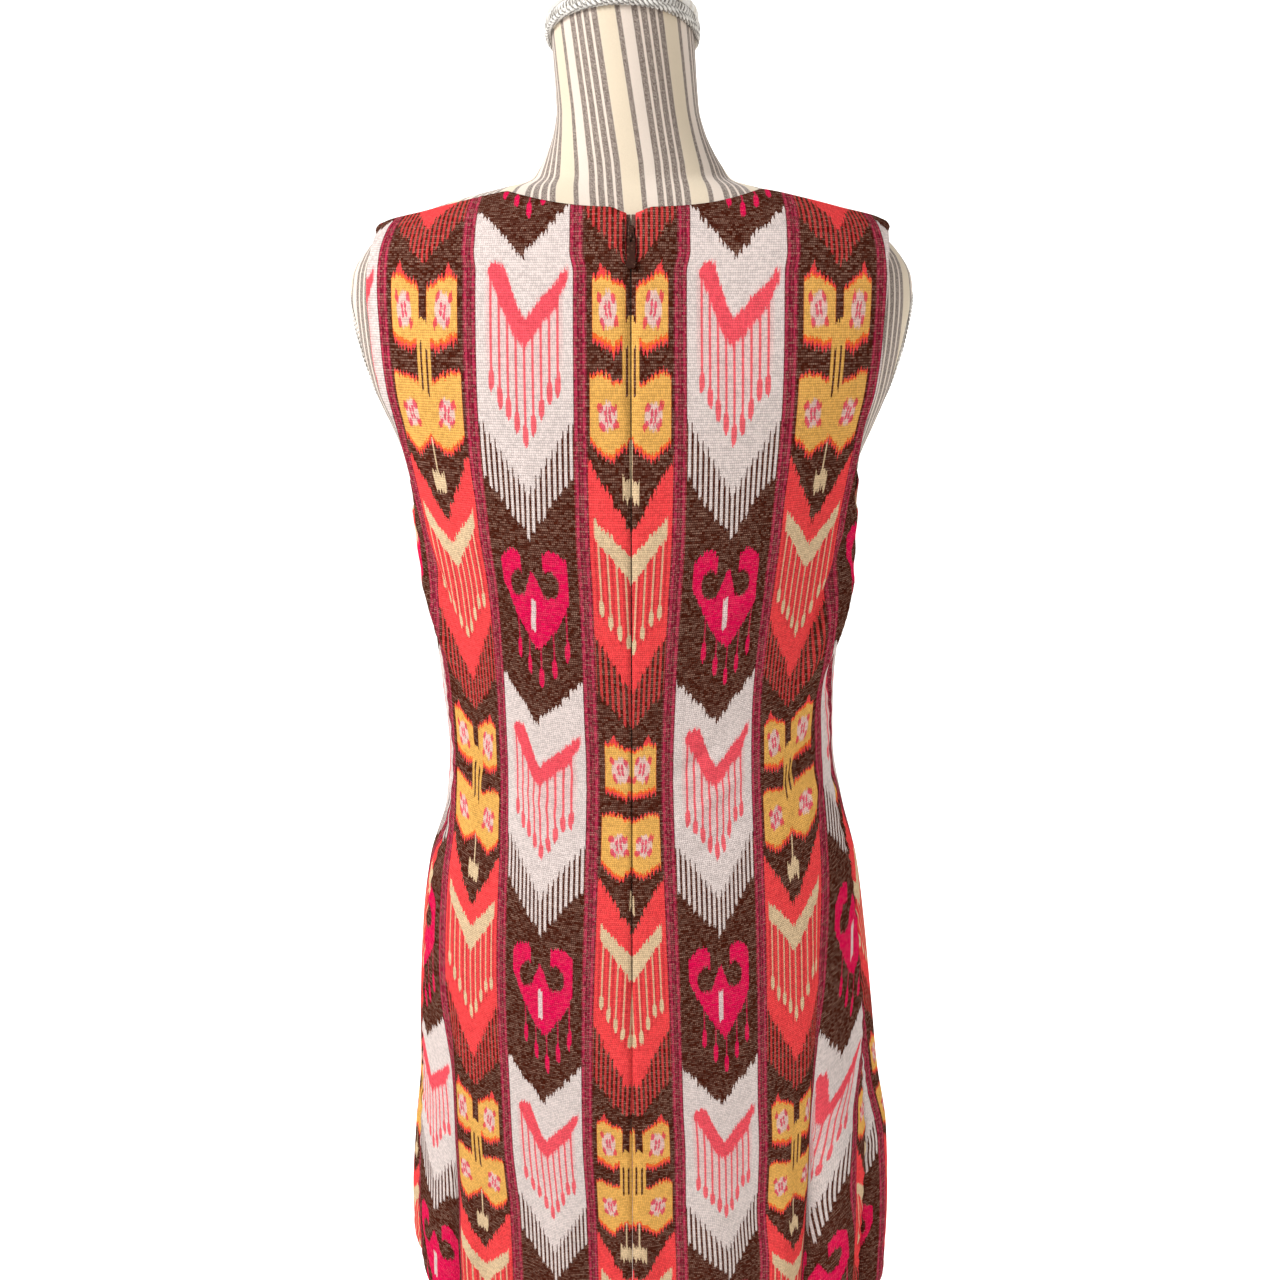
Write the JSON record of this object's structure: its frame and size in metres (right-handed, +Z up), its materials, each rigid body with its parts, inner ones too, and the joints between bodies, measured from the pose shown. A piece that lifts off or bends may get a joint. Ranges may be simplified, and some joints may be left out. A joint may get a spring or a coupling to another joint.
{
  "type": "sheath dress on a dress form",
  "caption": "Sleeveless boat-neck sheath dress with a centre back zip, worn by a ticking-covered dress form on a pole stand.",
  "frame": {"origin": "centre of the base's underside", "axes": "+Z up; the dress faces -Y, so its zipped back faces +Y; the wearer's left is +X"},
  "size_m": [0.4281, 0.35, 1.5031],
  "materials": {
    "ikat_cloth": "slubby plain-weave cotton with a warp ikat of vertical columns",
    "zip_tape": "brown knitted zip tape",
    "zip_metal": "brown enamelled zip slider and pull",
    "ticking": "cream cotton ticking with brown-grey stripes",
    "braid": "off-white plaited trimming braid",
    "whitewashed_wood": "whitewashed turned wood"
  },
  "bodies": {
    "dress_and_form": {"dress_front": "ikat_cloth", "dress_back_left": "ikat_cloth", "dress_back_right": "ikat_cloth", "zip_tape_left": "zip_tape", "zip_tape_right": "zip_tape", "zip_slider": "zip_metal", "form_torso": "ticking", "form_neck_braid": "braid", "form_neck_cap": "whitewashed_wood", "form_arm_plate_left": "ticking", "form_arm_plate_right": "ticking", "form_arm_braid_left": "braid", "form_arm_braid_right": "braid", "stand_base": "whitewashed_wood", "stand_foot_collar": "whitewashed_wood", "stand_socket": "whitewashed_wood", "stand_pole": "whitewashed_wood"},
    "zip_pull": {"zip_pull": "zip_metal"}
  },
  "joints": [
    {"name": "zip_pull_swing", "type": "hinge", "parent": "dress_and_form", "child": "zip_pull", "pos_m": [0, 0.09227, 1.3362], "axis": [1, 0, 0], "range_deg": [0, 150]}
  ]
}
